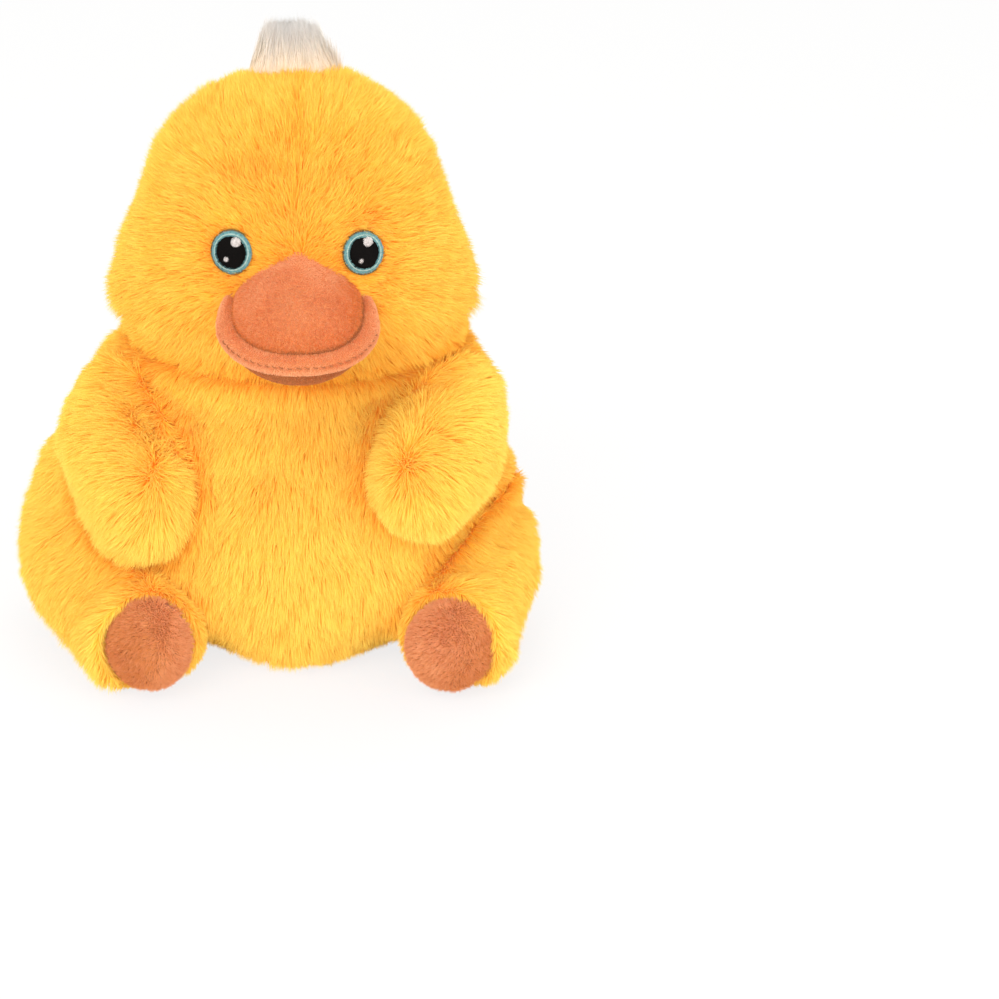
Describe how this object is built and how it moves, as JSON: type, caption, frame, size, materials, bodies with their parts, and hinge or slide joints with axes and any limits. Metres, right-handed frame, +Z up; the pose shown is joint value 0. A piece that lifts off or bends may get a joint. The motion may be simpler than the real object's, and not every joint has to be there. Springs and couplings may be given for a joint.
{
  "type": "plush duck",
  "caption": "Sitting stuffed duck in long yellow plush with a padded orange bill, orange foot pads, embroidered eyes and a pale crown tuft; head, wings and legs move at their seams.",
  "frame": {"origin": "on the floor under the middle of the neck seam, on the flat seat", "axes": "+Z up, -Y is where the duck faces, +X is the duck's left"},
  "size_m": [0.2365, 0.2081, 0.275],
  "materials": {
    "plush": "long brushed polyester pile, orange at the root and pale yellow at the tip",
    "velour": "short orange polyester pile",
    "tuft_pile": "long off-white pile",
    "filling": "loose polyester fibre",
    "pouch_cloth": "plain woven cloth",
    "ring_thread": "glossy embroidery thread, blue-green",
    "pupil_thread": "glossy embroidery thread, black",
    "glint_thread": "glossy embroidery thread, off-white"
  },
  "bodies": {
    "torso": {"torso_skin": "plush", "torso_filling": "filling", "pellet_pouch": "pouch_cloth", "tail_skin": "plush", "tail_filling": "filling"},
    "head": {"head_skin": "plush", "head_filling": "filling", "crown_tuft": "tuft_pile", "bill_upper": "velour", "bill_rim": "velour", "bill_lower": "velour", "bill_filling": "filling", "iris_left": "ring_thread", "pupil_left": "pupil_thread", "glint_large_left": "glint_thread", "glint_small_left": "glint_thread", "iris_right": "ring_thread", "pupil_right": "pupil_thread", "glint_large_right": "glint_thread", "glint_small_right": "glint_thread"},
    "wing_left": {"wing_skin_left": "plush", "wing_filling_left": "filling"},
    "wing_right": {"wing_skin_right": "plush", "wing_filling_right": "filling"},
    "leg_left": {"leg_skin_left": "plush", "leg_filling_left": "filling", "foot_pad_left": "velour"},
    "leg_right": {"leg_skin_right": "plush", "leg_filling_right": "filling", "foot_pad_right": "velour"}
  },
  "joints": [
    {"name": "head_turn", "type": "hinge", "parent": "torso", "child": "head", "pos_m": [0, 0, 0.136], "axis": [0, 0, 1], "range_deg": [-15, 15], "stiffness_Nm_per_rad": 0.3},
    {"name": "wing_open_left", "type": "hinge", "parent": "torso", "child": "wing_left", "pos_m": [0.086, -0.006, 0.115], "axis": [-0.3535, -0.3535, 0.866], "range_deg": [0, 45], "stiffness_Nm_per_rad": 0.04},
    {"name": "leg_spread_left", "type": "hinge", "parent": "torso", "child": "leg_left", "pos_m": [0.084, 0.028, 0], "axis": [0, 0, 1], "range_deg": [0, 20], "stiffness_Nm_per_rad": 0.1},
    {"name": "wing_open_right", "type": "hinge", "parent": "torso", "child": "wing_right", "pos_m": [-0.086, -0.006, 0.115], "axis": [-0.3535, 0.3535, -0.866], "range_deg": [0, 45], "stiffness_Nm_per_rad": 0.04},
    {"name": "leg_spread_right", "type": "hinge", "parent": "torso", "child": "leg_right", "pos_m": [-0.084, 0.028, 0], "axis": [0, 0, -1], "range_deg": [0, 20], "stiffness_Nm_per_rad": 0.1}
  ]
}
